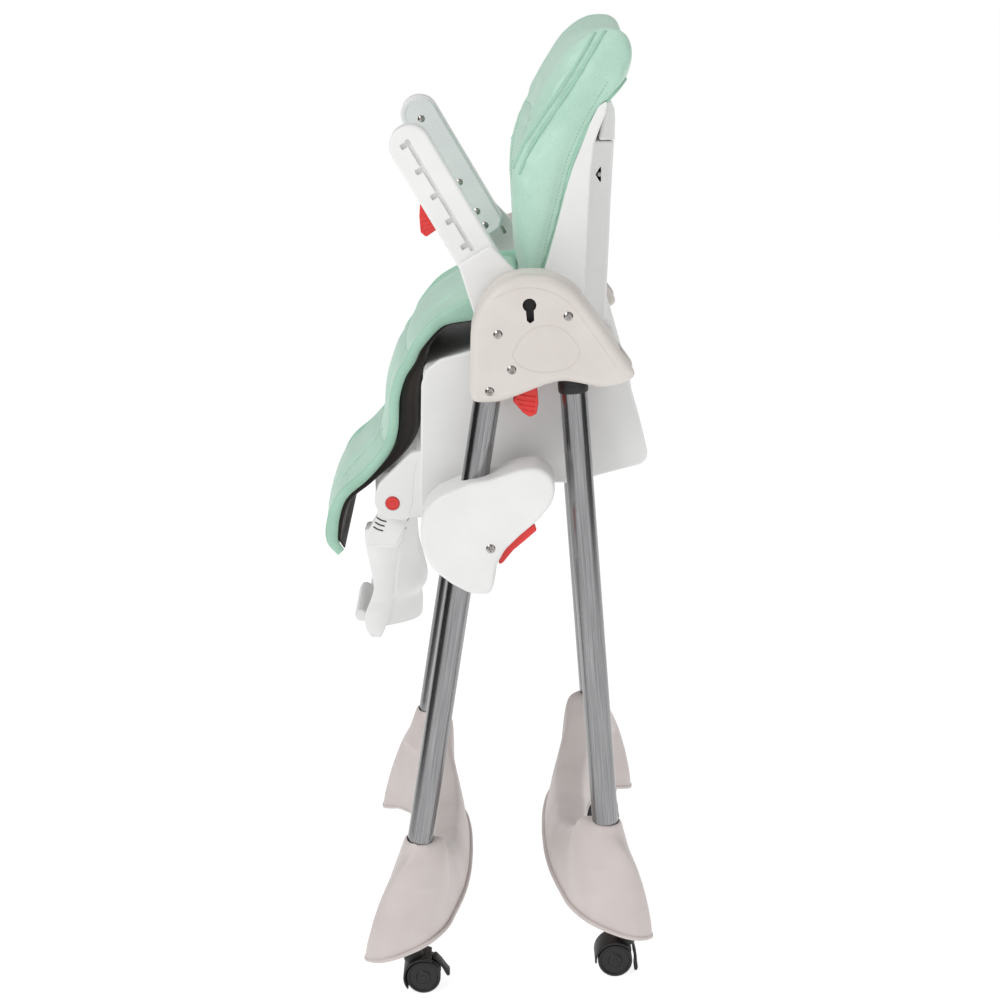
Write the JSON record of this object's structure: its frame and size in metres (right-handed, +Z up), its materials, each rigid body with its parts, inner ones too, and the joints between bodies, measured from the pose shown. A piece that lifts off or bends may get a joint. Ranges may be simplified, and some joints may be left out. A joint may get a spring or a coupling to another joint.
{
  "type": "baby high chair",
  "caption": "Folding baby high chair on casters, with a height-adjustable padded seat, reclining back, hinged armrests and leg rest.",
  "frame": {"origin": "on the floor under the middle of the folded chair", "axes": "+Z up, the chair faces -Y, +X towards the sitter's left"},
  "size_m": [0.5148, 0.4102, 1.083],
  "materials": {
    "steel_tube": "brushed along the turn, clear lacquer",
    "zinc_screw": "bright zinc plate",
    "black_plastic": "moulded nylon",
    "foot_plastic": "pearl beige, fine moulded grain",
    "hub_plastic": "pearl beige, fine moulded grain",
    "red_plastic": "moulded",
    "mint_cover": "soft coated cover with stitched seams",
    "grey_plastic": "fine moulded grain",
    "white_plastic": "satin moulded"
  },
  "bodies": {
    "front_frame": {"front_tube_left": "steel_tube", "front_tube_right": "steel_tube", "front_foot": "foot_plastic", "front_caster_sockets": "zinc_screw", "hub_outer_left": "hub_plastic", "hub_outer_right": "hub_plastic", "hub_inner_left": "hub_plastic", "hub_inner_right": "hub_plastic", "hub_screws": "zinc_screw", "rear_pivot_bolts": "zinc_screw"},
    "rear_frame": {"rear_tube_left": "steel_tube", "rear_tube_right": "steel_tube", "rear_foot": "foot_plastic", "rear_caster_sockets": "zinc_screw", "rear_tube_rings": "black_plastic"},
    "seat": {"seat_shell": "white_plastic", "slider_left": "white_plastic", "slider_right": "white_plastic", "slider_screws": "zinc_screw", "seat_cushion": "mint_cover", "leg_rest_pins": "zinc_screw"},
    "back": {"back_shell": "white_plastic", "recline_column": "white_plastic", "back_cushion": "mint_cover"},
    "recline_handle": {"recline_handle": "white_plastic"},
    "leg_rest": {"leg_rest": "white_plastic", "foot_plate": "white_plastic", "calf_pad": "mint_cover"},
    "arm_left": {"armrest_left": "white_plastic", "arm_cover_left": "grey_plastic", "arm_screws_left": "zinc_screw"},
    "arm_trigger_left": {"arm_trigger_left": "red_plastic"},
    "fold_lever_left": {"fold_lever_left": "red_plastic"},
    "height_trigger_left": {"height_trigger_left": "red_plastic"},
    "leg_rest_button_left": {"leg_rest_button_left": "red_plastic"},
    "front_left_swivel": {"front_left_hood": "black_plastic"},
    "front_left_wheels": {"front_left_wheels": "black_plastic"},
    "front_left_brake": {"front_left_brake": "black_plastic"},
    "rear_left_swivel": {"rear_left_hood": "black_plastic"},
    "rear_left_wheels": {"rear_left_wheels": "black_plastic"},
    "rear_left_brake": {"rear_left_brake": "black_plastic"},
    "arm_right": {"armrest_right": "white_plastic", "arm_cover_right": "grey_plastic", "arm_screws_right": "zinc_screw"},
    "arm_trigger_right": {"arm_trigger_right": "red_plastic"},
    "fold_lever_right": {"fold_lever_right": "red_plastic"},
    "height_trigger_right": {"height_trigger_right": "red_plastic"},
    "leg_rest_button_right": {"leg_rest_button_right": "red_plastic"},
    "front_right_swivel": {"front_right_hood": "black_plastic"},
    "front_right_wheels": {"front_right_wheels": "black_plastic"},
    "front_right_brake": {"front_right_brake": "black_plastic"},
    "rear_right_swivel": {"rear_right_hood": "black_plastic"},
    "rear_right_wheels": {"rear_right_wheels": "black_plastic"},
    "rear_right_brake": {"rear_right_brake": "black_plastic"}
  },
  "joints": [
    {"name": "rear_fold", "type": "hinge", "parent": "front_frame", "child": "rear_frame", "pos_m": [0, 0.10161, 0.78524], "axis": [1, 0, 0], "range_deg": [0, 30]},
    {"name": "seat_height", "type": "slide", "parent": "front_frame", "child": "seat", "axis": [0, 0.24, 0.9708], "range_m": [-0.16, 0.04]},
    {"name": "recline", "type": "hinge", "parent": "seat", "child": "back", "pos_m": [0, 0.09657, 0.71038], "axis": [-1, 0, 0], "range_deg": [0, 30]},
    {"name": "recline_release", "type": "slide", "parent": "back", "child": "recline_handle", "axis": [0, 0.1285, 0.9917], "range_m": [0, 0.006], "stiffness_N_per_m": 400},
    {"name": "leg_rest_raise", "type": "hinge", "parent": "seat", "child": "leg_rest", "pos_m": [0, -0.11529, 0.57265], "axis": [-1, 0, 0], "range_deg": [0, 50]},
    {"name": "arm_fold_left", "type": "hinge", "parent": "seat", "child": "arm_left", "pos_m": [0.182, 0.03966, 0.77802], "axis": [1, 0, 0], "range_deg": [0, 72]},
    {"name": "arm_trigger_press_left", "type": "hinge", "parent": "arm_left", "child": "arm_trigger_left", "pos_m": [0.164, -0.04511, 0.91049], "axis": [1, 0, 0], "range_deg": [0, 6], "stiffness_Nm_per_rad": 0.5},
    {"name": "fold_lever_press_left", "type": "hinge", "parent": "front_frame", "child": "fold_lever_left", "pos_m": [0.226, 0.05171, 0.72465], "axis": [-1, 0, 0], "range_deg": [0, 8], "stiffness_Nm_per_rad": 1},
    {"name": "height_trigger_press_left", "type": "hinge", "parent": "seat", "child": "height_trigger_left", "pos_m": [0.244, 0.00304, 0.5173], "axis": [1, 0, 0], "range_deg": [0, 7], "stiffness_Nm_per_rad": 0.5},
    {"name": "leg_button_press_left", "type": "slide", "parent": "seat", "child": "leg_rest_button_left", "axis": [-1, 0, 0], "range_m": [0, 0.0024], "stiffness_N_per_m": 300},
    {"name": "front_left_turn", "type": "hinge", "parent": "front_frame", "child": "front_left_swivel", "pos_m": [0.228, -0.14603, 0.05244], "axis": [0, -0.1739, 0.9848], "continuous": true},
    {"name": "front_left_roll", "type": "hinge", "parent": "front_left_swivel", "child": "front_left_wheels", "pos_m": [0.228, -0.13421, 0.02], "axis": [1, 0, 0], "continuous": true},
    {"name": "front_left_brake_press", "type": "hinge", "parent": "front_left_swivel", "child": "front_left_brake", "pos_m": [0.228, -0.11927, 0.03889], "axis": [-1, 0, 0], "range_deg": [0, 8], "stiffness_Nm_per_rad": 0.3},
    {"name": "rear_left_turn", "type": "hinge", "parent": "rear_frame", "child": "rear_left_swivel", "pos_m": [0.228, 0.10741, 0.0499], "axis": [0, 0.3418, 0.9398], "continuous": true},
    {"name": "rear_left_roll", "type": "hinge", "parent": "rear_left_swivel", "child": "rear_left_wheels", "pos_m": [0.228, 0.09015, 0.02], "axis": [1, 0, 0], "continuous": true},
    {"name": "rear_left_brake_press", "type": "hinge", "parent": "rear_left_swivel", "child": "rear_left_brake", "pos_m": [0.228, 0.11253, 0.02889], "axis": [-1, 0, 0], "range_deg": [0, 8], "stiffness_Nm_per_rad": 0.3},
    {"name": "arm_fold_right", "type": "hinge", "parent": "seat", "child": "arm_right", "pos_m": [-0.182, 0.03966, 0.77802], "axis": [1, 0, 0], "range_deg": [0, 72]},
    {"name": "arm_trigger_press_right", "type": "hinge", "parent": "arm_right", "child": "arm_trigger_right", "pos_m": [-0.164, -0.04511, 0.91049], "axis": [1, 0, 0], "range_deg": [0, 6], "stiffness_Nm_per_rad": 0.5},
    {"name": "fold_lever_press_right", "type": "hinge", "parent": "front_frame", "child": "fold_lever_right", "pos_m": [-0.226, 0.05171, 0.72465], "axis": [-1, 0, 0], "range_deg": [0, 8], "stiffness_Nm_per_rad": 1},
    {"name": "height_trigger_press_right", "type": "hinge", "parent": "seat", "child": "height_trigger_right", "pos_m": [-0.244, 0.00304, 0.5173], "axis": [1, 0, 0], "range_deg": [0, 7], "stiffness_Nm_per_rad": 0.5},
    {"name": "leg_button_press_right", "type": "slide", "parent": "seat", "child": "leg_rest_button_right", "axis": [1, 0, 0], "range_m": [0, 0.0024], "stiffness_N_per_m": 300},
    {"name": "front_right_turn", "type": "hinge", "parent": "front_frame", "child": "front_right_swivel", "pos_m": [-0.228, -0.14603, 0.05244], "axis": [0, -0.1739, 0.9848], "continuous": true},
    {"name": "front_right_roll", "type": "hinge", "parent": "front_right_swivel", "child": "front_right_wheels", "pos_m": [-0.228, -0.13421, 0.02], "axis": [1, 0, 0], "continuous": true},
    {"name": "front_right_brake_press", "type": "hinge", "parent": "front_right_swivel", "child": "front_right_brake", "pos_m": [-0.228, -0.11927, 0.03889], "axis": [-1, 0, 0], "range_deg": [0, 8], "stiffness_Nm_per_rad": 0.3},
    {"name": "rear_right_turn", "type": "hinge", "parent": "rear_frame", "child": "rear_right_swivel", "pos_m": [-0.228, 0.10741, 0.0499], "axis": [0, 0.3418, 0.9398], "continuous": true},
    {"name": "rear_right_roll", "type": "hinge", "parent": "rear_right_swivel", "child": "rear_right_wheels", "pos_m": [-0.228, 0.09015, 0.02], "axis": [1, 0, 0], "continuous": true},
    {"name": "rear_right_brake_press", "type": "hinge", "parent": "rear_right_swivel", "child": "rear_right_brake", "pos_m": [-0.228, 0.11253, 0.02889], "axis": [-1, 0, 0], "range_deg": [0, 8], "stiffness_Nm_per_rad": 0.3}
  ]
}
